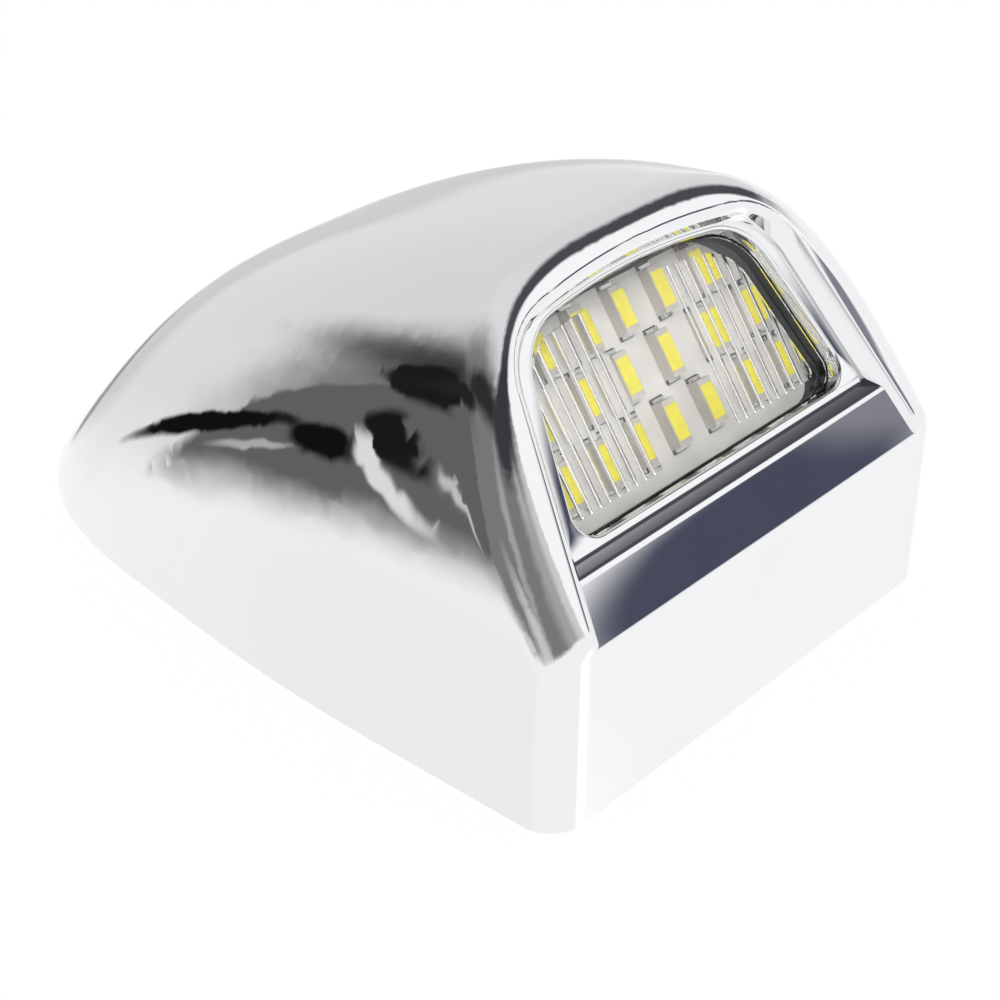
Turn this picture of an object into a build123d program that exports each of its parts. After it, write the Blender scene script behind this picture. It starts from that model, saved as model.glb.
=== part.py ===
"""Number plate lamp: chrome dome housing, fluted lens, LED board on a carrier, closed underside."""

from build123d import *
from math import cos, hypot, pi, radians, sin, tan
import os

# Dome of the housing: stations along its length, from ahead of the front wall to the tail.
# Each one is distance behind the front wall, half-width at the base, crest height, squareness.
dome_stations = (
    (-8.0, 24.9, 40.1, 3.17),
    (4.0, 25.5, 40.0, 3.17),
    (15.5, 26.0, 39.3, 3.25),
    (27.0, 26.3, 37.2, 3.35),
    (38.5, 25.9, 33.4, 3.3),
    (50.0, 24.95, 27.7, 3.0),
    (60.0, 23.6, 19.9, 2.6),
    (68.0, 20.7, 11.1, 2.3),
    (73.0, 16.0, 5.5, 2.1),
    (75.6, 10.4, 2.9, 2.0),
    (76.6, 5.4, 2.0, 2.0),
)
arch_steps = 14
foot_overrun = 1.0

# Front wall and sloped face
front_height = 16.2
face_tilt = 54.0
front_width = 51.0
front_corner_radius = 3.6
corner_run_off = 0.2
roll_radius = 3.7
brow_radius = 3.0
brow_reach = 3.0
bead_height = 0.5
bead_flank_angle = 50.0
bead_edge_radius = 1.0
panel_depth = 0.9
panel_flank_angle = 25.0
panel_step_run = 1.3
panel_step_radius = 1.2
window_edge_radius = 0.3

# Shell
wall = 2.0
face_wall = 1.2

# Panel inside the bead, on the face: x across, s up the slope from the front wall's top edge
panel_bottom = 5.0
panel_half_bottom = 19.7
panel_half_top = 16.0
panel_shoulder = 23.0
panel_apex = 24.95
panel_corner_radius = 3.0
panel_shoulder_radius = 6.0
panel_run_off = 22.5

# Window in the panel
window_bottom = 6.9
window_half_bottom = 17.5
window_half_top = 13.8
window_shoulder = 22.7
window_apex = 24.15
window_corner_radius = 2.2
window_shoulder_radius = 6.0
window_wall_angle = 9.0

# Lens and its seal
seal_thickness = 0.3
seal_lip = 1.6
lens_flange_thickness = 0.9
lens_flange_lip = 1.7
lens_pad_rise = 0.25
lens_clearance = 0.15
flute_pitch = 1.08
flute_height = 0.4
flute_count = 10
flute_margin = 1.3
plain_width = 9.8

# LED board
led_gap = 0.9
led_length = 4.0
led_width = 1.6
led_height = 1.25
phosphor_length = 3.05
phosphor_width = 1.42
phosphor_height = 0.06
terminal_length = 0.35
terminal_width = 1.3
terminal_height = 0.4
led_rows = ((21.0, 4.95, 5), (16.1, 5.26, 6), (10.9, 4.64, 7))
board_thickness = 1.2
board_margin = 0.2
board_clearance = 0.3
board_top = 23.5

# Parts on the back of the board
resistor_length = 1.4
resistor_width = 1.25
resistor_height = 0.55
resistor_cap = 0.3
resistor_columns = (-12.0, -8.5, 8.5, 12.0)
resistor_rows = (11.0, 16.5)
diode_length = 4.2
diode_width = 2.6
diode_height = 2.1
diode_draft = 4.0
diode_tab_length = 0.7
diode_tab_width = 1.5
diode_tab_height = 1.0
diode_place = (0.0, 19.2)
header_width = 6.0
header_length = 4.6
header_height = 5.6
header_wall = 0.8
header_floor = 1.4
header_place = (0.0, 12.0)
pin_side = 0.64
pin_pitch = 2.5
pin_reach = 3.2
header_gap = 0.3

# Board carrier
carrier_room = 2.5
carrier_floor = 1.4
carrier_ledge = 1.6
clip_reach = 0.5
clip_length = 2.4
clip_height = 0.5
clip_rows = (9.6, 15.0)
ear_across = 13.0
ear_up = 2.5
ear_radius = 2.6
ear_thickness = 1.6
carrier_boss_radius = 2.4

# Small screws, shared by the carrier and the cover
screw_radius = 0.9
screw_head_radius = 2.0
screw_head_height = 1.0
screw_pass_clearance = 0.3
screw_fit_clearance = 0.03
carrier_screw_bite = 4.6
slot_width = 0.6
slot_depth = 0.4

# Underside
cover_recess = 1.2
cover_thickness = 2.2
cover_clearance = 0.3
cover_seal_thickness = 0.4
cover_seal_width = 1.1
ledge_width = 1.6
ledge_height = 1.6
cover_boss_radius = 3.0
cover_boss_places = ((20.2, 12.5, 12.5), (18.9, 58.0, 9.0))
cover_screw_bite = 4.2
boss_cover = 1.0
fixing_front = 30.0
fixing_pitch = 28.0
fixing_boss_radius = 4.5
fixing_clearance = 0.3
insert_radius = 3.2
insert_length = 9.0
insert_bore_radius = 2.1
insert_chamfer = 0.4
grommet_place = 44.0
grommet_neck_radius = 4.0
grommet_flange_radius = 5.5
grommet_flange = 1.0
grommet_lip = 1.4
grommet_bore_radius = 2.2
grommet_clearance = 0.05
gasket_width = 32.0
gasket_length = 48.0
gasket_corner_radius = 9.0
gasket_band = 3.0

# Depths below the face plane, worked out from the stack of pieces behind the window
cavity_depth = panel_depth + face_wall
flange_front = cavity_depth + seal_thickness
flange_back = flange_front + lens_flange_thickness
flute_tip = flange_back + flute_height
led_top = flute_tip + led_gap
board_front = led_top + led_height
board_back = board_front + board_thickness
carrier_floor_front = board_back + carrier_room
carrier_back = carrier_floor_front + carrier_floor
ear_front = carrier_back - ear_thickness

# Heights above the base, worked out from the cover upwards
cover_top = cover_recess + cover_thickness
ledge_bottom = cover_top + cover_seal_thickness
ledge_top = ledge_bottom + ledge_height
reach = 90.0
touch = 0.001

# The lamp's length is centred on the origin
front_place = -dome_stations[-1][0] / 2
tilt = radians(face_tilt)
face_plane = Plane(origin=(0, front_place, front_height), x_dir=(1, 0, 0), z_dir=(0, -sin(tilt), cos(tilt)))


def dome_section(place, half_width, crest, squareness):
    """One arched cross-section of the dome, with short legs below the base."""
    points = []
    for step in range(arch_steps + 1):
        angle = pi * step / arch_steps
        side = 1 if step <= arch_steps / 2 else -1
        across = side * abs(cos(angle)) ** (2 / squareness)
        up = abs(sin(angle)) ** (2 / squareness) if 0 < step < arch_steps else 0
        points.append((half_width * across, crest * up))
    with BuildSketch(Plane.XZ.offset(-place - front_place)) as section:
        with BuildLine():
            arch = Spline(*points)
            Polyline(arch @ 1, (-half_width, -foot_overrun), (half_width, -foot_overrun), arch @ 0)
        make_face()
    return section.sketch


def dome_sections(inset):
    """The dome's cross-sections, moved inwards by inset square to its surface."""
    sections = []
    last = len(dome_stations) - 1
    for index, (place, half_width, crest, squareness) in enumerate(dome_stations):
        ahead = dome_stations[max(index - 1, 0)]
        behind = dome_stations[min(index + 1, last)]
        run = behind[0] - ahead[0]
        flare = (behind[1] - ahead[1]) / run
        slope = (behind[2] - ahead[2]) / run
        shift = inset * max(-flare, 0) / hypot(1, flare)
        inner_half = half_width - inset / hypot(1, flare)
        inner_crest = crest - slope * shift - inset * hypot(1, slope)
        sections.append(dome_section(place - shift, inner_half, inner_crest, squareness))
    return sections


def dome_block(inset, face_depth, rolled=False):
    """The housing's outer form as a solid, inset from the surface, cut at a depth below the face."""
    cut_plane = face_plane.offset(-face_depth)
    corner = front_corner_radius - min(inset, front_corner_radius / 2)
    half_front = front_width / 2 - inset
    front = front_place + inset
    corner_end = (half_front + corner_run_off, front + corner)
    with BuildPart() as block:
        loft(sections=dome_sections(inset))
        split(bisect_by=cut_plane, keep=Keep.BOTTOM)
        if rolled:
            face = block.faces().sort_by(lambda f: abs(cut_plane.to_local_coords(f.center()).Z))[0]
            fillet(face.edges().filter_by(lambda e: e.center().Z > front_height), radius=roll_radius)
        with BuildSketch(Plane.XY.offset(-2 * foot_overrun)):
            with BuildLine():
                right = TangentArc((half_front - corner, front), corner_end, tangent=(1, 0))
                mirror(right, about=Plane.YZ)
                Line((half_front - corner, front), (corner - half_front, front))
                Polyline(
                    corner_end,
                    (reach, corner_end[1]),
                    (reach, -reach),
                    (-reach, -reach),
                    (-reach, corner_end[1]),
                    (-corner_end[0], corner_end[1]),
                )
            make_face()
        extrude(amount=reach, mode=Mode.SUBTRACT)
        if rolled:
            brow = block.edges().filter_by(lambda e: abs(e.center().Z - front_height) < brow_reach)
            fillet(brow.filter_by(lambda e: e.center().Y < front_place + brow_reach), radius=brow_radius)
    return block.part


def dome_slice(inset, bottom, top):
    """A flat slice of the dome's form between two heights."""
    with BuildPart() as slice_part:
        add(dome_block(inset, cavity_depth))
        with Locations((0, 0, bottom)):
            Box(2 * reach, 2 * reach, top - bottom,
                align=(Align.CENTER, Align.CENTER, Align.MIN), mode=Mode.INTERSECT)
    return slice_part.part


def face_outline(plane, bottom, half_bottom, half_top, shoulder, apex, corner_radius, shoulder_radius,
                 grow=0.0):
    """D-shaped outline on the face: straight foot, leaning sides, crowned top."""
    with BuildSketch(plane) as outline:
        with BuildLine():
            Polyline((-half_top, shoulder), (-half_bottom, bottom), (half_bottom, bottom),
                     (half_top, shoulder))
            ThreePointArc((half_top, shoulder), (0, apex), (-half_top, shoulder))
        make_face()
        corners = outline.vertices().group_by(Axis((0, 0, 0), face_plane.y_dir))
        fillet(corners[0], radius=corner_radius)
        fillet(outline.vertices().group_by(Axis((0, 0, 0), face_plane.y_dir))[-1], radius=shoulder_radius)
        if grow:
            offset(amount=grow)
    return outline.sketch


def window_outline(depth, grow=0.0):
    return face_outline(face_plane.offset(-depth), window_bottom, window_half_bottom, window_half_top,
                        window_shoulder, window_apex, window_corner_radius, window_shoulder_radius, grow)


def panel_cut():
    """What the bead encloses: the flat band, the rounded step and the panel, out to the bead's flanks."""
    lean = (panel_half_bottom - panel_half_top) / (panel_shoulder - panel_bottom)
    half_foot = panel_half_bottom + lean * (panel_bottom + panel_run_off)
    outline = face_outline(face_plane, -panel_run_off, half_foot, panel_half_top, panel_shoulder, panel_apex,
                           panel_corner_radius, panel_shoulder_radius)
    with BuildPart() as cut:
        extrude(outline, amount=bead_height, taper=-bead_flank_angle)
        extrude(outline, amount=-panel_depth, taper=panel_flank_angle)
        with BuildSketch(Plane(face_plane.origin, x_dir=face_plane.y_dir, z_dir=(1, 0, 0))) as profile:
            with BuildLine():
                Polyline(
                    (-reach, 0),
                    (panel_bottom, 0),
                    (panel_bottom + panel_step_run, -panel_depth),
                    (reach, -panel_depth),
                    (reach, reach),
                    (-reach, reach),
                    close=True,
                )
            make_face()
            step_top = face_plane.from_local_coords(Vector(0, panel_bottom, 0))
            step = profile.vertices().sort_by_distance(step_top)
            fillet(step[0:2], radius=panel_step_radius)
        extrude(amount=reach, both=True, mode=Mode.INTERSECT)
    return cut.part


def faces_at_depth(builder, depth):
    """The builder's faces that lie in the plane at a depth below the face."""
    return builder.faces().filter_by(
        lambda f: abs(face_plane.to_local_coords(f.center()).Z + depth) < touch
    ).filter_by(GeomType.PLANE)


def up_slope(edge):
    """How far up the face an edge's middle is."""
    return face_plane.to_local_coords(edge.center()).Y


carrier_boss_spots = [(-ear_across, ear_up), (ear_across, ear_up)]
fixing_middle = front_place + fixing_front + fixing_pitch / 2
fixing_spots = [(0, fixing_middle - fixing_pitch / 2), (0, fixing_middle + fixing_pitch / 2)]
grommet_spot = (0, front_place + grommet_place)
cover_spots = [(side * x, front_place + y, top) for x, y, top in cover_boss_places for side in (-1, 1)]
window_shrink = face_wall * tan(radians(window_wall_angle))
led_spots = []
for row_s, row_pitch, row_count in led_rows:
    for index in range(row_count):
        led_spots.append(((index - (row_count - 1) / 2) * row_pitch, row_s))

# Chrome-plated shell
with BuildPart() as housing_bosses:
    for x, y, top in cover_spots:
        with BuildSketch(Plane.XY.offset(ledge_bottom)):
            with Locations((x, y)):
                Circle(cover_boss_radius)
        extrude(amount=top - ledge_bottom)
    with BuildSketch():
        with Locations(*fixing_spots):
            Circle(fixing_boss_radius)
    extrude(amount=reach)
    add(dome_block(boss_cover, cavity_depth), mode=Mode.INTERSECT)
with BuildPart() as housing:
    add(dome_block(0, -bead_height, rolled=True))
    split(bisect_by=Plane.XY, keep=Keep.TOP)
    add(dome_block(wall, cavity_depth), mode=Mode.SUBTRACT)
    add(panel_cut(), mode=Mode.SUBTRACT)
    bead_edges = faces_at_depth(housing, -bead_height).edges().filter_by(GeomType.BSPLINE, reverse=True)
    fillet(bead_edges.filter_by(lambda e: up_slope(e) > panel_bottom), radius=bead_edge_radius)
    extrude(window_outline(panel_depth), amount=-face_wall, taper=window_wall_angle, mode=Mode.SUBTRACT)
    panel_floor = faces_at_depth(housing, panel_depth).sort_by(SortBy.AREA)[-1]
    fillet(panel_floor.inner_wires().edges(), radius=window_edge_radius)
    add(dome_slice(wall / 2, ledge_bottom, ledge_top))
    add(dome_block(wall + ledge_width, cavity_depth), mode=Mode.SUBTRACT)
    add(housing_bosses.part)
    with BuildSketch(face_plane.offset(-cavity_depth)):
        with Locations(*carrier_boss_spots):
            Circle(carrier_boss_radius)
    extrude(amount=cavity_depth - ear_front)
    with BuildSketch(face_plane.offset(-ear_front)):
        with Locations(*carrier_boss_spots):
            Circle(screw_radius + screw_fit_clearance)
    extrude(amount=carrier_screw_bite, mode=Mode.SUBTRACT)
    for x, y, top in cover_spots:
        with BuildSketch(Plane.XY.offset(ledge_bottom)):
            with Locations((x, y)):
                Circle(screw_radius + screw_fit_clearance)
        extrude(amount=cover_screw_bite, mode=Mode.SUBTRACT)
    with BuildSketch():
        with Locations(*fixing_spots):
            Circle(insert_radius + screw_fit_clearance)
    extrude(amount=insert_length, mode=Mode.SUBTRACT)
housing.part.label = "housing"

# Clear lens: flange behind the window, pad in it, flutes on its inner side
with BuildPart() as flutes:
    flute_start = plain_width / 2
    with BuildSketch(Plane(face_plane.offset(-flange_back).origin, x_dir=(1, 0, 0), z_dir=-face_plane.y_dir)):
        for side in (-1, 1):
            with BuildLine():
                for index in range(flute_count):
                    near = side * (flute_start + index * flute_pitch)
                    far = near + side * flute_pitch
                    ThreePointArc((near, 0), ((near + far) / 2, -flute_height), (far, 0))
                far_end = side * (flute_start + flute_count * flute_pitch)
                Polyline((far_end, 0), (far_end, flute_height), (side * flute_start, flute_height),
                         (side * flute_start, 0))
            make_face()
    extrude(amount=-reach)
    extrude(window_outline(flange_front, -window_shrink - flute_margin), amount=-reach, mode=Mode.INTERSECT)
with BuildPart() as lens:
    extrude(window_outline(flange_front, lens_flange_lip), amount=-lens_flange_thickness)
    extrude(window_outline(flange_front, -window_shrink - lens_clearance), amount=lens_pad_rise)
    add(flutes.part)
lens.part.label = "lens"

# Seal between the lens flange and the back of the face
with BuildPart() as lens_seal:
    extrude(window_outline(cavity_depth, seal_lip), amount=-seal_thickness)
    extrude(window_outline(cavity_depth, -window_shrink), amount=-seal_thickness, mode=Mode.SUBTRACT)
lens_seal.part.label = "lens_seal"

# Board, held in the carrier against a ledge
with BuildPart() as circuit_board:
    extrude(window_outline(board_front, board_margin), amount=-board_thickness)
    top_edge = face_plane.from_local_coords(Vector(0, board_top, 0))
    split(bisect_by=Plane(top_edge, z_dir=face_plane.y_dir), keep=Keep.BOTTOM)
circuit_board.part.label = "circuit_board"

# Carrier tray behind the lens, with ears on the housing's bosses and clips over the board's sides
side_lean = (window_half_bottom - window_half_top) / (window_shoulder - window_bottom)
clip_spots = []
for row_s in clip_rows:
    clip_across = window_half_bottom - side_lean * (row_s - window_bottom) + board_margin + board_clearance
    clip_spots.extend([(-clip_across, row_s), (clip_across, row_s)])
with BuildPart() as board_carrier:
    extrude(window_outline(flange_back, lens_flange_lip), amount=flange_back - carrier_back)
    with BuildSketch(face_plane.offset(-ear_front)):
        with Locations(*carrier_boss_spots):
            Circle(ear_radius)
        for x, s in carrier_boss_spots:
            with Locations((x, s)):
                Rectangle(2 * ear_radius, 2 * ear_radius, align=(Align.CENTER, Align.MIN))
    extrude(amount=-ear_thickness)
    extrude(window_outline(flange_back, board_margin + board_clearance), amount=flange_back - board_back,
            mode=Mode.SUBTRACT)
    extrude(window_outline(board_back, -carrier_ledge), amount=-carrier_room, mode=Mode.SUBTRACT)
    with BuildSketch(face_plane.offset(-carrier_floor_front)):
        with Locations(header_place):
            Rectangle(header_width + 2 * header_gap, header_length + 2 * header_gap)
    extrude(amount=-carrier_floor, mode=Mode.SUBTRACT)
    with BuildSketch(face_plane.offset(-carrier_back)):
        with Locations(*carrier_boss_spots):
            Circle(screw_radius + screw_pass_clearance)
    extrude(amount=ear_thickness, mode=Mode.SUBTRACT)
    with BuildSketch(face_plane.offset(-board_front)):
        with Locations(*clip_spots):
            Rectangle(2 * (board_clearance + clip_reach), clip_length)
    extrude(amount=clip_height)
board_carrier.part.label = "board_carrier"

# LEDs: body, light bar on top, tinned ends
with BuildPart() as led_packages:
    with BuildSketch(face_plane.offset(-board_front)):
        with Locations(*led_spots):
            Rectangle(led_width, led_length)
    extrude(amount=led_height)
led_packages.part.label = "led_packages"

with BuildPart() as led_phosphors:
    with BuildSketch(face_plane.offset(-led_top)):
        with Locations(*led_spots):
            Rectangle(phosphor_width, phosphor_length)
    extrude(amount=phosphor_height)
led_phosphors.part.label = "led_phosphors"

terminal_step = (led_length + terminal_length) / 2
with BuildPart() as led_terminals:
    with BuildSketch(face_plane.offset(-board_front)):
        for x, s in led_spots:
            with Locations((x, s - terminal_step), (x, s + terminal_step)):
                Rectangle(terminal_width, terminal_length)
    extrude(amount=terminal_height)
led_terminals.part.label = "led_terminals"

# Current limiting and polarity protection on the back of the board
resistor_spots = [(x, s) for x in resistor_columns for s in resistor_rows]
cap_step = (resistor_length + resistor_cap) / 2
with BuildPart() as chip_resistors:
    with BuildSketch(face_plane.offset(-board_back)):
        with Locations(*resistor_spots):
            Rectangle(resistor_width, resistor_length)
    extrude(amount=-resistor_height)
chip_resistors.part.label = "chip_resistors"

with BuildPart() as resistor_caps:
    with BuildSketch(face_plane.offset(-board_back)):
        for x, s in resistor_spots:
            with Locations((x, s - cap_step), (x, s + cap_step)):
                Rectangle(resistor_width, resistor_cap)
    extrude(amount=-resistor_height)
resistor_caps.part.label = "resistor_caps"

with BuildPart() as polarity_diode:
    with BuildSketch(face_plane.offset(-board_back)):
        with Locations(diode_place):
            Rectangle(diode_length, diode_width)
    extrude(amount=-diode_height, taper=diode_draft)
polarity_diode.part.label = "polarity_diode"

tab_step = (diode_length + diode_tab_length) / 2
with BuildPart() as diode_tabs:
    with BuildSketch(face_plane.offset(-board_back)):
        with Locations(diode_place):
            with Locations((-tab_step, 0), (tab_step, 0)):
                Rectangle(diode_tab_length, diode_tab_width)
    extrude(amount=-diode_tab_height)
diode_tabs.part.label = "diode_tabs"

# Two-pole supply header, through the carrier's floor
with BuildPart() as header_shroud:
    with BuildSketch(face_plane.offset(-board_back)):
        with Locations(header_place):
            Rectangle(header_width, header_length)
    extrude(amount=-header_height)
    with BuildSketch(face_plane.offset(-board_back - header_floor)):
        with Locations(header_place):
            Rectangle(header_width - 2 * header_wall, header_length - 2 * header_wall)
    extrude(amount=header_floor - header_height, mode=Mode.SUBTRACT)
header_shroud.part.label = "header_shroud"

with BuildPart() as header_pins:
    with BuildSketch(face_plane.offset(-board_back - header_floor)):
        with Locations(header_place):
            with GridLocations(pin_pitch, 0, 2, 1):
                Rectangle(pin_side, pin_side)
    extrude(amount=-pin_reach)
header_pins.part.label = "header_pins"

# Carrier screws, heads on the ears
with BuildPart() as carrier_screws:
    with BuildSketch(face_plane.offset(-carrier_back)):
        with Locations(*carrier_boss_spots):
            Circle(screw_radius)
    extrude(amount=ear_thickness + carrier_screw_bite)
    with BuildSketch(face_plane.offset(-carrier_back)):
        with Locations(*carrier_boss_spots):
            Circle(screw_head_radius)
    extrude(amount=-screw_head_height)
    with BuildSketch(face_plane.offset(-carrier_back - screw_head_height)):
        with Locations(*carrier_boss_spots):
            Rectangle(2 * screw_head_radius, slot_width)
            Rectangle(slot_width, 2 * screw_head_radius)
    extrude(amount=slot_depth, mode=Mode.SUBTRACT)
carrier_screws.part.label = "carrier_screws"

# Cover that closes the underside
with BuildPart() as base_cover:
    add(dome_slice(wall + cover_clearance, cover_recess, cover_top))
    with BuildSketch(Plane.XY.offset(cover_recess)):
        with Locations(*fixing_spots):
            Circle(fixing_boss_radius + fixing_clearance)
        with Locations(grommet_spot):
            Circle(grommet_neck_radius)
        with Locations(*[(x, y) for x, y, top in cover_spots]):
            Circle(screw_radius + screw_pass_clearance)
    extrude(amount=cover_thickness, mode=Mode.SUBTRACT)
base_cover.part.label = "base_cover"

with BuildPart() as cover_seal:
    add(dome_slice(wall + cover_clearance, cover_top, ledge_bottom))
    add(dome_slice(wall + cover_clearance + cover_seal_width, cover_top, ledge_bottom), mode=Mode.SUBTRACT)
cover_seal.part.label = "cover_seal"

with BuildPart() as cover_screws:
    for x, y, top in cover_spots:
        with BuildSketch(Plane.XY.offset(cover_recess)):
            with Locations((x, y)):
                Circle(screw_radius)
        extrude(amount=ledge_bottom - cover_recess + cover_screw_bite)
        with BuildSketch(Plane.XY.offset(cover_recess)):
            with Locations((x, y)):
                Circle(screw_head_radius)
        extrude(amount=-screw_head_height)
        with BuildSketch(Plane.XY.offset(cover_recess - screw_head_height)):
            with Locations((x, y)):
                Rectangle(2 * screw_head_radius, slot_width)
                Rectangle(slot_width, 2 * screw_head_radius)
        extrude(amount=slot_depth, mode=Mode.SUBTRACT)
cover_screws.part.label = "cover_screws"

# Foam ring against the vehicle, round the fixings and the cable
with BuildPart() as base_gasket:
    with BuildSketch():
        with Locations((0, fixing_middle)):
            RectangleRounded(gasket_width, gasket_length, gasket_corner_radius)
            RectangleRounded(gasket_width - 2 * gasket_band, gasket_length - 2 * gasket_band,
                             gasket_corner_radius - gasket_band, mode=Mode.SUBTRACT)
    extrude(amount=cover_recess)
base_gasket.part.label = "base_gasket"

# Threaded inserts for the vehicle's fixing screws
with BuildPart() as fixing_inserts:
    with BuildSketch():
        with Locations(*fixing_spots):
            Circle(insert_radius)
            Circle(insert_bore_radius, mode=Mode.SUBTRACT)
    extrude(amount=insert_length)
    mouths = fixing_inserts.edges().filter_by(GeomType.CIRCLE).group_by(Axis.Z)[0]
    chamfer(mouths.filter_by(lambda e: e.radius < insert_radius), length=insert_chamfer)
fixing_inserts.part.label = "fixing_inserts"

# Grommet where the supply cable goes in
with BuildPart() as cable_grommet:
    with BuildSketch(Plane(origin=(*grommet_spot, 0), x_dir=(1, 0, 0), z_dir=(0, -1, 0))):
        with BuildLine():
            Polyline(
                (grommet_bore_radius, cover_recess - grommet_flange),
                (grommet_flange_radius, cover_recess - grommet_flange),
                (grommet_flange_radius, cover_recess),
                (grommet_neck_radius - grommet_clearance, cover_recess),
                (grommet_neck_radius - grommet_clearance, cover_top),
                (grommet_flange_radius, cover_top),
                (grommet_neck_radius, cover_top + grommet_lip),
                (grommet_bore_radius, cover_top + grommet_lip),
                close=True,
            )
        make_face()
    revolve(axis=Axis((*grommet_spot, 0), (0, 0, 1)))
cable_grommet.part.label = "cable_grommet"

os.makedirs("parts", exist_ok=True)
for piece in (
    housing, lens, lens_seal, circuit_board, board_carrier, led_packages, led_phosphors, led_terminals,
    chip_resistors, resistor_caps, polarity_diode, diode_tabs, header_shroud, header_pins, carrier_screws,
    base_cover, cover_seal, cover_screws, base_gasket, fixing_inserts, cable_grommet,
):
    export_step(piece.part, f"parts/{piece.part.label}.step")
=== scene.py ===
"""Number plate lamp: chrome shell, clear fluted lens, LED board and underside, on a plain white stage."""

from math import cos, pi, radians, sin
from typing import NamedTuple

import bpy
from bpy.props import FloatProperty, FloatVectorProperty, PointerProperty
from mathutils import Matrix, Vector


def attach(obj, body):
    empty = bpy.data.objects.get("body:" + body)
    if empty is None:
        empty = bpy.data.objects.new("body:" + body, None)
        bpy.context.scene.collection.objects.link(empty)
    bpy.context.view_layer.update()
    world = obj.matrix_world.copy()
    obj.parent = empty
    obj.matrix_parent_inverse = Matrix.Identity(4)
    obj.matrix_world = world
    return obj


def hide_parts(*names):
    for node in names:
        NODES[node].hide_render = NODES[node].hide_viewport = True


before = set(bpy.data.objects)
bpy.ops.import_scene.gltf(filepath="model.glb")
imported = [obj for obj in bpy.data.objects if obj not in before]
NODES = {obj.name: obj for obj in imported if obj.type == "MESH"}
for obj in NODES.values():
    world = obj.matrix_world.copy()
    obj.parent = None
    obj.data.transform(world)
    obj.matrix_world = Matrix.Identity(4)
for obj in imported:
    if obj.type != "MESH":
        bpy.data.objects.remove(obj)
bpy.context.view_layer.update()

bl_info = {
    "name": "Number plate lamp",
    "version": (1, 0, 0),
    "blender": (4, 5, 0),
    "location": "View3D > Sidebar > Lamp",
    "description": "Dresses the lamp's solids with chrome, clear plastic, an LED board and a studio",
    "category": "Object",
}

MM = 0.001

# The lit face: its foot on the front wall, its tilt, and the board's depth below it
FACE_FOOT = Vector((0.0, -38.3 * MM, 16.2 * MM))
FACE_TILT = radians(54)
BOARD_DEPTH = 5.85 * MM

# Rows of LEDs up the face: place, pitch and count, with the length of a body and the size of its tinned end
LED_ROWS = ((21.0 * MM, 4.95 * MM, 5), (16.1 * MM, 5.26 * MM, 6), (10.9 * MM, 4.64 * MM, 7))
LED_LENGTH = 4.0 * MM
END_LENGTH = 0.35 * MM
END_WIDTH = 1.3 * MM

# Solder round an LED's end: its gap to the end, how far its top draws in, its bevel as a share of its width
SOLDER_GAP = 0.02 * MM
SOLDER_TAPER = (0.93, 0.85, 1.0)
SOLDER_BEVEL = 0.3

# Points of a solid closer than this are merged, and edges sharper than these angles stay crisp
MERGE_DISTANCE = 0.002 * MM
LENS_EDGE_ANGLE = radians(35)
SOLDER_EDGE_ANGLE = radians(50)

# The part of a noise pattern's range that a finish runs over
PATTERN_START = 0.3
PATTERN_END = 0.7

COMPONENT_BLACK = (0.03, 0.03, 0.032)
HEADER_NATURAL = (0.68, 0.65, 0.55)

# The floor lies just under the lamp and glows this share of white where it is seen directly
FLOOR_HEIGHT = -0.05 * MM
FLOOR_SIDES = 96
FLOOR_PAINT = (0.88, 0.88, 0.88)
FLOOR_GLOW = 0.98
KEY_PLACE = Vector((-0.25, -0.35, 0.45))
KEY_AIM = Vector((0.0, 0.0, 0.02))
KEY_SIZE = 0.35
KEY_POWER = 1.6
SENSOR_WIDTH = 36.0
CLIP_START = 0.005


def grey(level):
    """A neutral colour."""
    return (level, level, level)


class Card(NamedTuple):
    """An oval card in the studio: its colour, its direction and size in degrees, and how its edge fades."""

    tone: tuple
    azimuth: float
    elevation: float
    turn: float
    half_length: float
    half_width: float
    soft: float
    ragged: float = 0.0


# Added to the reach of what lies behind a card, so that it stays outside the card's edge
BEHIND_CARD = 9.0

# Greys of the studio by the sine of the elevation
WALL_GREYS = ((-1.0, 0.95), (-0.3, 0.9), (-0.08, 0.8), (0.1, 0.8), (0.5, 0.76), (0.75, 0.74), (1.0, 0.8))

# Hung before the white sweep, which covers their lower parts
CORNER_CARDS = (
    # Dark surround of the softbox
    Card((0.075, 0.075, 0.09), 132, 30, 0, 41, 37, 0.1),
    # Pale lines along the rolled rim
    Card(grey(0.4), -119, 25, 116, 20, 4, 0.7),
    Card(grey(0.62), -107, 2, 10, 13, 8, 0.6, 0.4),
    # Dark cards over the brow
    Card(grey(0.03), -108, 57, -10, 36, 8, 0.5, 0.4),
    Card((0.045, 0.045, 0.055), -174, 49, 0, 24, 8, 0.3),
    # Grey and black cards in the dark corner
    Card(grey(0.05), -47, 33, -15, 22, 9, 0.85, 0.2),
    Card(grey(0.13), -53, 1, -54, 36, 17, 0.05, 0.2),
    Card(grey(0.012), -47, 24, 60, 8.5, 5.5, 0.2, 0.8),
    Card(grey(0.02), -64, 36, -34, 20, 4.5, 0.3, 0.5),
    Card(grey(0.006), -30, -8.7, -30, 13, 2.4, 0.25, 0.8),
    Card(grey(0.006), -46, -5, 30, 5, 4.2, 0.3, 0.8),
    Card(grey(0.01), -52.5, 3, 70, 9, 2.8, 0.25, 0.8),
    Card(grey(0.45), -37, -11.8, -24, 5.5, 0.9, 0.5, 0.5),
)

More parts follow.
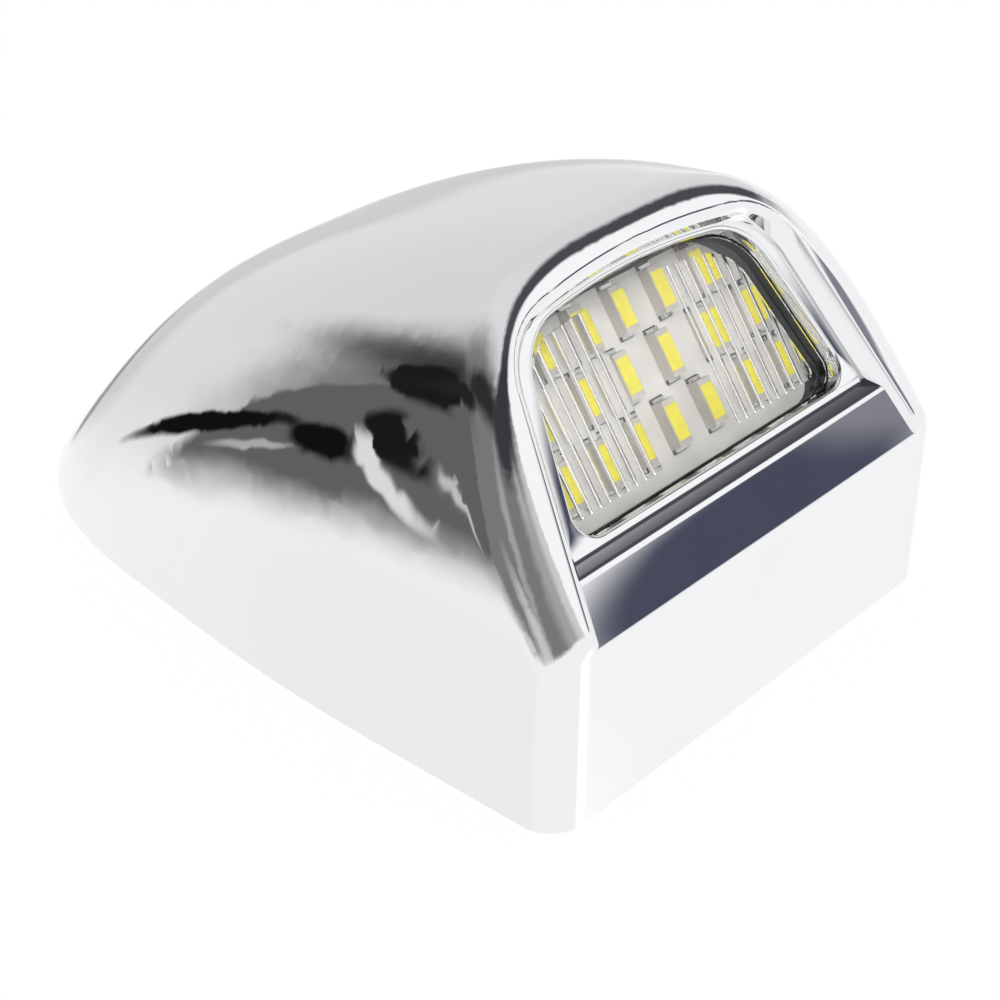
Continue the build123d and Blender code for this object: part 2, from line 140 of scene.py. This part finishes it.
# Hung over the sweep
FRONT_CARDS = (
    # The side wall, the front wall and the line on the corner between them
    Card(grey(0.95), -53, -38, 0, 20, 14, 0.5),
    Card(grey(1.03), 125, -38, 0, 9, 16, 0.4),
    Card(grey(1.22), 146, -39, 0, 9, 18, 0.4),
    # The dome's far contour
    Card(grey(0.66), 30, -12, 0, 26, 9, 0.35),
    Card(grey(0.36), 22, -19, 10, 7, 2.5, 0.4),
    # Pale strips in the dark corner
    Card(grey(0.8), -53, -7.5, 68, 9, 1.3, 0.35, 0.5),
    Card(grey(0.6), -58.5, -7, 75, 7, 0.45, 0.4, 0.6),
    # The softbox with its pale side, and the slate card in front of it
    Card(grey(0.4), 178, 30, 0, 26, 8, 0.5),
    Card(grey(0.66), 163, 28, 0, 12, 9, 0.6),
    Card(grey(1.05), 134, 28, 0, 20, 20, 0.15),
    Card((0.07, 0.078, 0.118), 134.2, 16.3, 0, 6.6, 4.2, 0.35),
    Card((0.25, 0.25, 0.29), 127, 17.5, 0, 3, 3.5, 0.4),
)


def colour(name, text, value):
    """A colour that a user may change."""
    return FloatVectorProperty(name=name, description=text, default=value,
                               subtype="COLOR", size=3, min=0.0, max=1.0)


class ShellSettings(bpy.types.PropertyGroup):
    """The chrome-plated housing."""

    tint: colour("Chrome", "Colour that the plating gives its reflections", (0.87, 0.875, 0.885))
    roughness: FloatProperty(name="Roughness", description="How blurred the plating's reflections are",
                             default=0.03, min=0.0, max=1.0, subtype="FACTOR")
    edge_angle: FloatProperty(name="Edge angle", description="Edges sharper than this stay crisp",
                              default=radians(24), subtype="ANGLE")


class LensSettings(bpy.types.PropertyGroup):
    """The clear moulding in the window."""

    tint: colour("Lens", "Colour of the clear plastic", (0.97, 0.98, 0.985))
    ior: FloatProperty(name="IOR", description="How strongly the plastic bends light",
                       default=1.49, min=1.0, max=2.0)


class BoardSettings(bpy.types.PropertyGroup):
    """The LED board and what is soldered to it."""

    mask: colour("Solder mask", "Colour of the board's face", (0.625, 0.6, 0.565))
    phosphor: colour("Phosphor", "Colour of the light bars", (0.76, 0.67, 0.06))
    body: colour("LED body", "Colour of the moulded LED bodies", (0.49, 0.455, 0.41))
    tin: colour("Tin", "Colour of tinned ends", (0.62, 0.62, 0.62))
    # Solder colour, far darker than tin, which paints the shade and reflection that outline the LEDs' ends
    solder: colour("Solder", "Colour of the solder round the LEDs' ends", (0.16, 0.155, 0.15))
    rim_width: FloatProperty(name="Solder rim", description="Width of the solder round an LED's end",
                             default=0.1 * MM, unit="LENGTH")
    rim_height: FloatProperty(name="Solder height", description="Height of the solder on the board",
                              default=0.22 * MM, unit="LENGTH")


class UndersideSettings(bpy.types.PropertyGroup):
    """The closed underside and the hidden carrier."""

    plastic: colour("Black plastic", "Colour of the cover and the carrier", (0.022, 0.022, 0.024))
    rubber: colour("Rubber", "Colour of the seals and the grommet", (0.016, 0.016, 0.016))
    brass: colour("Brass", "Colour of the threaded inserts", (0.65, 0.46, 0.19))
    steel: colour("Screw steel", "Colour of the screws", (0.52, 0.52, 0.53))


class StageSettings(bpy.types.PropertyGroup):
    """Camera, floor and light."""

    camera_place: FloatVectorProperty(name="Camera place", description="Where the camera stands",
                                      default=(-0.11361, -0.11431, 0.10669),
                                      subtype="TRANSLATION", unit="LENGTH", size=3)
    camera_look: FloatVectorProperty(name="Camera look", description="The way the camera looks", size=3,
                                     subtype="DIRECTION", default=(0.61605, 0.57047, -0.54317))
    lens_length: FloatProperty(name="Focal length", description="The camera's focal length in millimetres",
                               default=73.51, min=1.0)
    floor_radius: FloatProperty(name="Floor", description="Half the floor's width",
                                default=0.75, unit="LENGTH")


def clear_selection():
    """Leaves edit mode and selects nothing."""
    if bpy.context.object and bpy.context.object.mode != "OBJECT":
        bpy.ops.object.mode_set(mode="OBJECT")
    bpy.ops.object.select_all(action="DESELECT")


def activate(piece):
    """Selects one piece alone and makes it active."""
    clear_selection()
    piece.select_set(True)
    bpy.context.view_layer.objects.active = piece


def smooth_copy(node, name, edge_angle):
    """A merged, smooth-shaded copy of a solid, which stands for it."""
    piece = NODES[node].copy()
    piece.data = NODES[node].data.copy()
    piece.name = name
    for key in list(piece.keys()):
        del piece[key]
    piece.parent = None
    bpy.context.scene.collection.objects.link(piece)
    activate(piece)
    bpy.ops.mesh.customdata_custom_splitnormals_clear()
    bpy.ops.object.mode_set(mode="EDIT")
    bpy.ops.mesh.select_all(action="SELECT")
    bpy.ops.mesh.remove_doubles(threshold=MERGE_DISTANCE)
    bpy.ops.object.mode_set(mode="OBJECT")
    bpy.ops.object.shade_smooth_by_angle(angle=edge_angle)
    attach(piece, "root")
    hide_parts(node)
    return piece


def dress(piece, material):
    """Gives a piece one material."""
    piece.data.materials.clear()
    piece.data.materials.append(material)
    for polygon in piece.data.polygons:
        polygon.material_index = 0


class Finish:
    """A node material under construction, patterned on Object coordinates."""

    def __init__(self, name):
        self.material = bpy.data.materials.new(name)
        self.material.use_nodes = True
        self.tree = self.material.node_tree
        self.shader = self.tree.nodes["Principled BSDF"]
        self.place = self.tree.nodes.new("ShaderNodeTexCoord").outputs["Object"]

    def set(self, **values):
        """Sets constant numbers on the shader itself."""
        for name, value in values.items():
            self.shader.inputs[name.replace("_", " ")].default_value = value
        return self

    def noise(self, size, detail=3.0):
        """Noise whose lumps are about size metres across."""
        noise = self.tree.nodes.new("ShaderNodeTexNoise")
        noise.inputs["Scale"].default_value = 1.0 / size
        noise.inputs["Detail"].default_value = detail
        self.tree.links.new(self.place, noise.inputs["Vector"])
        return noise.outputs["Fac"]

    def tint(self, source, first, second):
        """Base colour that runs between two colours with a pattern."""
        ramp = self.tree.nodes.new("ShaderNodeValToRGB")
        ramp.color_ramp.elements[0].position = PATTERN_START
        ramp.color_ramp.elements[0].color = (*first, 1.0)
        ramp.color_ramp.elements[1].position = PATTERN_END
        ramp.color_ramp.elements[1].color = (*second, 1.0)
        self.tree.links.new(source, ramp.inputs["Fac"])
        self.tree.links.new(ramp.outputs["Color"], self.shader.inputs["Base Color"])

    def rough(self, source, low, high):
        """Roughness that varies with a pattern."""
        span = self.tree.nodes.new("ShaderNodeMapRange")
        span.inputs["From Min"].default_value = PATTERN_START
        span.inputs["From Max"].default_value = PATTERN_END
        span.inputs["To Min"].default_value = low
        span.inputs["To Max"].default_value = high
        self.tree.links.new(source, span.inputs["Value"])
        self.tree.links.new(span.outputs["Result"], self.shader.inputs["Roughness"])

    def bump(self, source, height, strength=1.0):
        """Relief of a pattern, height in metres."""
        relief = self.tree.nodes.new("ShaderNodeBump")
        relief.inputs["Strength"].default_value = strength
        relief.inputs["Distance"].default_value = height
        self.tree.links.new(source, relief.inputs["Height"])
        self.tree.links.new(relief.outputs["Normal"], self.shader.inputs["Normal"])


def shade(base, factor):
    """A colour made lighter or darker."""
    return tuple(min(channel * factor, 1.0) for channel in base)


def plating(settings):
    """Bright chrome over moulded plastic."""
    finish = Finish("chrome_plating").set(Metallic=1.0)
    haze = finish.noise(9 * MM)
    finish.tint(haze, shade(settings.tint, 0.985), settings.tint)
    finish.rough(haze, settings.roughness * 0.7, settings.roughness * 1.3)
    finish.bump(finish.noise(11 * MM, 1.0), 0.02 * MM, 0.5)
    return finish.material


def clear_plastic(settings):
    """Polished clear plastic."""
    finish = Finish("clear_lens")
    finish.set(IOR=settings.ior, Transmission_Weight=1.0)
    haze = finish.noise(3 * MM)
    finish.tint(haze, shade(settings.tint, 0.985), settings.tint)
    finish.rough(haze, 0.01, 0.03)
    return finish.material


def moulded(name, base, rough=0.5, grain=0.25, relief=0.01, sheen=0.5):
    """Moulded plastic or rubber with a fine grain, its grain and relief in millimetres."""
    finish = Finish(name).set(Specular_IOR_Level=sheen)
    cloud = finish.noise(4 * MM)
    finish.tint(cloud, shade(base, 0.88), shade(base, 1.1))
    finish.rough(cloud, rough * 0.85, min(rough * 1.15, 1.0))
    finish.bump(finish.noise(grain * MM, 2.0), relief * MM)
    return finish.material


def metal(name, base, rough=0.25, grain=0.5, relief=0.004):
    """Bare or plated metal with fine marks, its grain and relief in millimetres."""
    finish = Finish(name).set(Metallic=1.0)
    marks = finish.noise(grain * MM)
    finish.tint(marks, shade(base, 0.85), shade(base, 1.08))
    finish.rough(marks, rough * 0.7, rough * 1.4)
    finish.bump(marks, relief * MM)
    return finish.material


def light_bar(settings):
    """Silicone with yellow phosphor, slightly cloudy."""
    finish = Finish("led_phosphor").set(Specular_IOR_Level=0.4)
    cloud = finish.noise(0.8 * MM)
    finish.tint(cloud, shade(settings.phosphor, 0.93), shade(settings.phosphor, 1.05))
    finish.rough(cloud, 0.3, 0.45)
    finish.bump(finish.noise(0.12 * MM), 0.01 * MM)
    return finish.material


def board_place(across, up, side):
    """Frame of a spot on the board: x across the face, y away from the LED's middle, z towards the lens."""
    turn = Matrix.Rotation(FACE_TILT, 4, "X") @ Matrix.Rotation(0.0 if side > 0 else pi, 4, "Z")
    slope = Matrix.Rotation(FACE_TILT, 3, "X")
    spot = FACE_FOOT + slope @ Vector((across, up, -BOARD_DEPTH))
    return Matrix.Translation(spot) @ turn


def solder_rim(settings):
    """One bow of solder, open towards the LED, on the plane z = 0."""
    half = END_WIDTH / 2 + SOLDER_GAP + settings.rim_width
    far = END_LENGTH + SOLDER_GAP + settings.rim_width
    clear_selection()
    bpy.ops.mesh.primitive_plane_add(size=1.0, location=(0.0, 0.5 * (SOLDER_GAP + far), 0.0))
    rim = bpy.context.object
    rim.name = "solder_rim"
    rim.scale = (2 * half, far - SOLDER_GAP, 1.0)
    bpy.ops.object.transform_apply(location=True, rotation=True, scale=True)
    bpy.ops.object.mode_set(mode="EDIT")
    bpy.ops.mesh.select_mode(type="FACE")
    bpy.ops.mesh.select_all(action="SELECT")
    bpy.ops.mesh.inset(thickness=settings.rim_width, use_even_offset=True)
    bpy.ops.mesh.delete(type="FACE")
    bpy.ops.object.mode_set(mode="OBJECT")
    for face in rim.data.polygons:
        face.select = face.center.y < SOLDER_GAP + settings.rim_width
    bpy.ops.object.mode_set(mode="EDIT")
    bpy.ops.mesh.delete(type="FACE")
    bpy.ops.mesh.select_all(action="SELECT")
    bpy.ops.mesh.extrude_region_move(TRANSFORM_OT_translate={"value": (0.0, 0.0, settings.rim_height)})
    bpy.ops.transform.resize(value=SOLDER_TAPER)
    bpy.ops.mesh.select_all(action="SELECT")
    bpy.ops.mesh.normals_make_consistent(inside=False)
    bpy.ops.mesh.bevel(offset=SOLDER_BEVEL * settings.rim_width, segments=1, affect="EDGES")
    bpy.ops.object.mode_set(mode="OBJECT")
    return rim


class LAMP_OT_shell(bpy.types.Operator):
    """Makes the chrome-plated shell"""

    bl_idname = "lamp.shell"
    bl_label = "Chrome shell"

    def execute(self, context):
        settings = context.scene.lamp_shell
        shell = smooth_copy("housing", "chrome_shell", settings.edge_angle)
        dress(shell, plating(settings))
        return {"FINISHED"}


class LAMP_OT_lens(bpy.types.Operator):
    """Makes the clear fluted lens and its seal"""

    bl_idname = "lamp.lens"
    bl_label = "Lens"

    def execute(self, context):
        lens = smooth_copy("lens", "clear_lens", LENS_EDGE_ANGLE)
        lens.visible_shadow = False
        dress(lens, clear_plastic(context.scene.lamp_lens))
        dress(NODES["lens_seal"], moulded("seal_rubber", context.scene.lamp_underside.rubber, 0.6))
        return {"FINISHED"}


class LAMP_OT_led_board(bpy.types.Operator):
    """Finishes the board, the LEDs and the parts on its back"""

    bl_idname = "lamp.led_board"
    bl_label = "LED board"

    def execute(self, context):
        settings = context.scene.lamp_board
        tin = metal("tinned_metal", settings.tin, 0.2, grain=0.3)
        black = moulded("component_black", COMPONENT_BLACK, 0.4)
        dress(NODES["circuit_board"], moulded("board_mask", settings.mask, 0.35, 0.15, 0.004))
        dress(NODES["led_packages"], moulded("led_body", settings.body, 0.45, 0.1, 0.004))
        dress(NODES["led_phosphors"], light_bar(settings))
        dress(NODES["led_terminals"], tin)
        dress(NODES["chip_resistors"], black)
        dress(NODES["resistor_caps"], tin)
        dress(NODES["polarity_diode"], black)
        dress(NODES["diode_tabs"], tin)
        dress(NODES["header_shroud"], moulded("header_plastic", HEADER_NATURAL, 0.4))
        dress(NODES["header_pins"], tin)
        return {"FINISHED"}


class LAMP_OT_solder(bpy.types.Operator):
    """Lays a rim of solder round each tinned end of the LEDs, darkened to paint the shade and reflection
    there
    """

    bl_idname = "lamp.solder"
    bl_label = "Solder"

    def execute(self, context):
        settings = context.scene.lamp_board
        rim = solder_rim(settings)
        copies = []
        for up, pitch, count in LED_ROWS:
            for index in range(count):
                across = (index - (count - 1) / 2) * pitch
                for side in (-1, 1):
                    copy = rim.copy()
                    copy.data = rim.data.copy()
                    context.scene.collection.objects.link(copy)
                    copy.matrix_world = board_place(across, up + side * LED_LENGTH / 2, side)
                    copies.append(copy)
        bpy.data.objects.remove(rim)
        clear_selection()
        for copy in copies:
            copy.select_set(True)
        context.view_layer.objects.active = copies[0]
        bpy.ops.object.transform_apply(location=True, rotation=True, scale=True)
        bpy.ops.object.join()
        solder = context.object
        solder.name = "led_solder"
        bpy.ops.object.shade_smooth_by_angle(angle=SOLDER_EDGE_ANGLE)
        # Real solder, darkened to paint the shade and reflection that outline the LEDs' ends
        dress(solder, metal("solder", settings.solder, 0.25, grain=0.2))
        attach(solder, "root")
        return {"FINISHED"}


class LAMP_OT_underside(bpy.types.Operator):
    """Finishes the carrier, the cover, the seals and the fixings"""

    bl_idname = "lamp.underside"
    bl_label = "Underside"

    def execute(self, context):
        settings = context.scene.lamp_underside
        rubber = moulded("soft_rubber", settings.rubber, 0.7, 0.4)
        steel = metal("screw_steel", settings.steel, 0.3)
        # The carrier's black plastic, darkened below the cover's to paint the shade in the gap above the
        # board
        dress(NODES["board_carrier"],
              moulded("carrier_plastic", shade(settings.plastic, 0.6), 0.5, sheen=0.2))
        dress(NODES["carrier_screws"], steel)
        dress(NODES["base_cover"], moulded("cover_plastic", settings.plastic, 0.55, 0.35, 0.03))
        dress(NODES["cover_seal"], rubber)
        dress(NODES["cover_screws"], steel)
        dress(NODES["base_gasket"],
              moulded("gasket_foam", shade(settings.rubber, 2.2), 0.9, 0.5, 0.08, 0.2))
        dress(NODES["fixing_inserts"], metal("insert_brass", settings.brass, 0.25))
        dress(NODES["cable_grommet"], rubber)
        return {"FINISHED"}


class Sky:
    """The studio round the lamp, painted by direction."""

    def __init__(self, world):
        world.use_nodes = True
        self.tree = world.node_tree
        self.tree.nodes.clear()
        self.way = self.tree.nodes.new("ShaderNodeTexCoord").outputs["Generated"]
        noise = self.tree.nodes.new("ShaderNodeTexNoise")
        noise.inputs["Scale"].default_value = 8.0
        noise.inputs["Detail"].default_value = 1.0
        self.tree.links.new(self.way, noise.inputs["Vector"])
        self.uneven = self.math("SUBTRACT", noise.outputs["Fac"], 0.5)
        self.light = None

    def math(self, operation, *values):
        """A number worked out from numbers and sockets."""
        node = self.tree.nodes.new("ShaderNodeMath")
        node.operation = operation
        for socket, value in zip(node.inputs, values):
            if isinstance(value, (int, float)):
                socket.default_value = value
            else:
                self.tree.links.new(value, socket)
        return node.outputs["Value"]

    def along(self, direction):
        """How far the view goes along a direction."""
        dot = self.tree.nodes.new("ShaderNodeVectorMath")
        dot.operation = "DOT_PRODUCT"
        self.tree.links.new(self.way, dot.inputs[0])
        dot.inputs[1].default_value = direction
        return dot.outputs["Value"]

    def fade(self, value, start, end):
        """Runs smoothly from 0 at start to 1 at end."""
        span = self.tree.nodes.new("ShaderNodeMapRange")
        span.interpolation_type = "SMOOTHSTEP"
        span.inputs["From Min"].default_value = start
        span.inputs["From Max"].default_value = end
        self.tree.links.new(value, span.inputs["Value"])
        return span.outputs["Result"]

    def paint(self, tone, mask):
        """Lays a colour over what is painted so far."""
        mix = self.tree.nodes.new("ShaderNodeMix")
        mix.data_type = "RGBA"
        self.tree.links.new(mask, mix.inputs["Factor"])
        self.tree.links.new(self.light, mix.inputs["A"])
        mix.inputs["B"].default_value = (*tone, 1.0)
        self.light = mix.outputs["Result"]

    def walls(self, stops):
        """Grey by the sine of the elevation."""
        ramp = self.tree.nodes.new("ShaderNodeValToRGB")
        height = self.math("MULTIPLY_ADD", self.along((0.0, 0.0, 1.0)), 0.5, 0.5)
        self.tree.links.new(height, ramp.inputs["Fac"])
        elements = ramp.color_ramp.elements
        for place, _ in stops[1:-1]:
            elements.new(place * 0.5 + 0.5)
        for element, (place, level) in zip(elements, stops):
            element.color = (level, level, level, 1.0)
        self.light = ramp.outputs["Color"]

    def corner(self, tone, azimuth, elevation, inner, outer, ragged):
        """A wide zone round a direction, between two angles from it."""
        angle = self.math("ARCCOSINE", self.along(heading(azimuth, elevation)))
        angle = self.math("MULTIPLY_ADD", self.uneven, radians(ragged), angle)
        self.paint(tone, self.fade(angle, radians(outer), radians(inner)))

    def sweep(self, tone, slope, start, end, ragged):
        """Everything below a tilted plane."""
        height = self.math("MULTIPLY_ADD", self.uneven, ragged, self.along(slope))
        self.paint(tone, self.fade(height, end, start))

    def hang(self, card):
        """Paints one card, its long side turned up from level."""
        facing = heading(card.azimuth, card.elevation)
        level = Vector((facing.y, -facing.x, 0.0)).normalized()
        upright = level.cross(facing)
        length_way = level * cos(radians(card.turn)) + upright * sin(radians(card.turn))
        width_way = facing.cross(length_way)
        sides = self.tree.nodes.new("ShaderNodeCombineXYZ")
        for socket, way, half in ((0, length_way, card.half_length), (1, width_way, card.half_width)):
            self.tree.links.new(self.along(way / sin(radians(half))), sides.inputs[socket])
        behind = self.math("LESS_THAN", self.along(facing), 0.0)
        self.tree.links.new(self.math("MULTIPLY", behind, BEHIND_CARD), sides.inputs[2])
        reach = self.tree.nodes.new("ShaderNodeVectorMath")
        reach.operation = "LENGTH"
        self.tree.links.new(sides.outputs["Vector"], reach.inputs[0])
        edge = self.math("MULTIPLY_ADD", self.uneven, card.ragged, reach.outputs["Value"])
        self.paint(card.tone, self.fade(edge, 1.0 + card.soft, 1.0 - card.soft))

    def finish(self):
        """The painted studio in reflections, and plain white everywhere else."""
        room = self.tree.nodes.new("ShaderNodeBackground")
        self.tree.links.new(self.light, room.inputs["Color"])
        white = self.tree.nodes.new("ShaderNodeBackground")
        white.inputs["Color"].default_value = (1.0, 1.0, 1.0, 1.0)
        path = self.tree.nodes.new("ShaderNodeLightPath")
        seen = self.math("MAXIMUM", path.outputs["Is Camera Ray"], path.outputs["Is Transmission Ray"])
        seen = self.math("MAXIMUM", seen, path.outputs["Is Diffuse Ray"])
        mix = self.tree.nodes.new("ShaderNodeMixShader")
        self.tree.links.new(seen, mix.inputs["Fac"])
        self.tree.links.new(room.outputs["Background"], mix.inputs[1])
        self.tree.links.new(white.outputs["Background"], mix.inputs[2])
        output = self.tree.nodes.new("ShaderNodeOutputWorld")
        self.tree.links.new(mix.outputs["Shader"], output.inputs["Surface"])


def heading(azimuth, elevation):
    """Direction by degrees: azimuth 0 to the back and 90 to the right, elevation 90 straight up."""
    level = cos(radians(elevation))
    return Vector((sin(radians(azimuth)) * level, cos(radians(azimuth)) * level, sin(radians(elevation))))


def studio_light():
    """Pale walls, a dark corner on the left, a tilted white sweep, a softbox and a slate card in front."""
    sky = Sky(bpy.context.scene.world)
    sky.walls(WALL_GREYS)
    sky.corner(grey(0.21), -100, 10, inner=56, outer=84, ragged=6)
    for card in CORNER_CARDS:
        sky.hang(card)
    sky.sweep(grey(1.0), (-0.2, 0.39, 1.0), start=-0.06, end=0.16, ragged=0.1)
    for card in FRONT_CARDS:
        sky.hang(card)
    sky.finish()


def white_floor():
    """Pale floor, nearly white to the camera and through the lens, with only a trace of the lamp's shadow."""
    material = bpy.data.materials.new("white_floor")
    material.use_nodes = True
    tree = material.node_tree
    paint = tree.nodes["Principled BSDF"]
    paint.inputs["Base Color"].default_value = (*FLOOR_PAINT, 1.0)
    paint.inputs["Roughness"].default_value = 0.9
    glow = tree.nodes.new("ShaderNodeEmission")
    glow.inputs["Color"].default_value = (1.0, 1.0, 1.0, 1.0)
    path = tree.nodes.new("ShaderNodeLightPath")
    seen = path.outputs["Is Camera Ray"]
    for name in ("Is Glossy Ray", "Is Transmission Ray"):
        total = tree.nodes.new("ShaderNodeMath")
        total.operation = "ADD"
        total.use_clamp = True
        tree.links.new(seen, total.inputs[0])
        tree.links.new(path.outputs[name], total.inputs[1])
        seen = total.outputs["Value"]
    share = tree.nodes.new("ShaderNodeMath")
    share.operation = "MULTIPLY"
    share.inputs[1].default_value = FLOOR_GLOW
    tree.links.new(seen, share.inputs[0])
    mix = tree.nodes.new("ShaderNodeMixShader")
    tree.links.new(share.outputs["Value"], mix.inputs["Fac"])
    tree.links.new(paint.outputs["BSDF"], mix.inputs[1])
    tree.links.new(glow.outputs["Emission"], mix.inputs[2])
    tree.links.new(mix.outputs["Shader"], tree.nodes["Material Output"].inputs["Surface"])
    return material


class LAMP_OT_stage(bpy.types.Operator):
    """Sets the camera, the floor and the light"""

    bl_idname = "lamp.stage"
    bl_label = "Stage"

    def execute(self, context):
        settings = context.scene.lamp_stage
        scene = context.scene
        scene.view_settings.view_transform = "Standard"
        clear_selection()
        look = Vector(settings.camera_look)
        bpy.ops.object.camera_add(location=settings.camera_place,
                                  rotation=look.to_track_quat("-Z", "Y").to_euler())
        camera = context.object
        camera.name = "photo_camera"
        camera.data.sensor_width = SENSOR_WIDTH
        camera.data.lens = settings.lens_length
        camera.data.clip_start = CLIP_START
        scene.camera = camera

        clear_selection()
        bpy.ops.mesh.primitive_circle_add(vertices=FLOOR_SIDES, radius=settings.floor_radius,
                                          fill_type="NGON", location=(0.0, 0.0, FLOOR_HEIGHT))
        floor = context.object
        floor.name = "floor"
        floor.visible_glossy = False
        dress(floor, white_floor())

        clear_selection()
        bpy.ops.object.light_add(type="AREA", location=KEY_PLACE)
        key = context.object
        key.name = "key_light"
        key.data.shape = "DISK"
        key.data.size = KEY_SIZE
        key.data.energy = KEY_POWER
        key.visible_glossy = False
        key.rotation_euler = (KEY_AIM - KEY_PLACE).to_track_quat("-Z", "Y").to_euler()
        if scene.world is None:
            scene.world = bpy.data.worlds.new("studio")
        studio_light()
        return {"FINISHED"}


class LAMP_PT_pieces(bpy.types.Panel):
    """Buttons for the lamp's pieces and stage"""

    bl_label = "Number plate lamp"
    bl_space_type = "VIEW_3D"
    bl_region_type = "UI"
    bl_category = "Lamp"

    def draw(self, context):
        for operator in OPERATORS:
            self.layout.operator(operator.bl_idname)


SETTINGS = (
    (ShellSettings, "lamp_shell"),
    (LensSettings, "lamp_lens"),
    (BoardSettings, "lamp_board"),
    (UndersideSettings, "lamp_underside"),
    (StageSettings, "lamp_stage"),
)
OPERATORS = (LAMP_OT_stage, LAMP_OT_shell, LAMP_OT_lens, LAMP_OT_led_board, LAMP_OT_solder, LAMP_OT_underside)


def register():
    for group, name in SETTINGS:
        bpy.utils.register_class(group)
        setattr(bpy.types.Scene, name, PointerProperty(type=group))
    for operator in OPERATORS:
        bpy.utils.register_class(operator)
    bpy.utils.register_class(LAMP_PT_pieces)


def unregister():
    bpy.utils.unregister_class(LAMP_PT_pieces)
    for operator in reversed(OPERATORS):
        bpy.utils.unregister_class(operator)
    for group, name in reversed(SETTINGS):
        delattr(bpy.types.Scene, name)
        bpy.utils.unregister_class(group)


def main():
    register()
    bpy.ops.lamp.stage()
    bpy.ops.lamp.shell()
    bpy.ops.lamp.lens()
    bpy.ops.lamp.led_board()
    bpy.ops.lamp.solder()
    bpy.ops.lamp.underside()


if __name__ == "__main__":
    main()
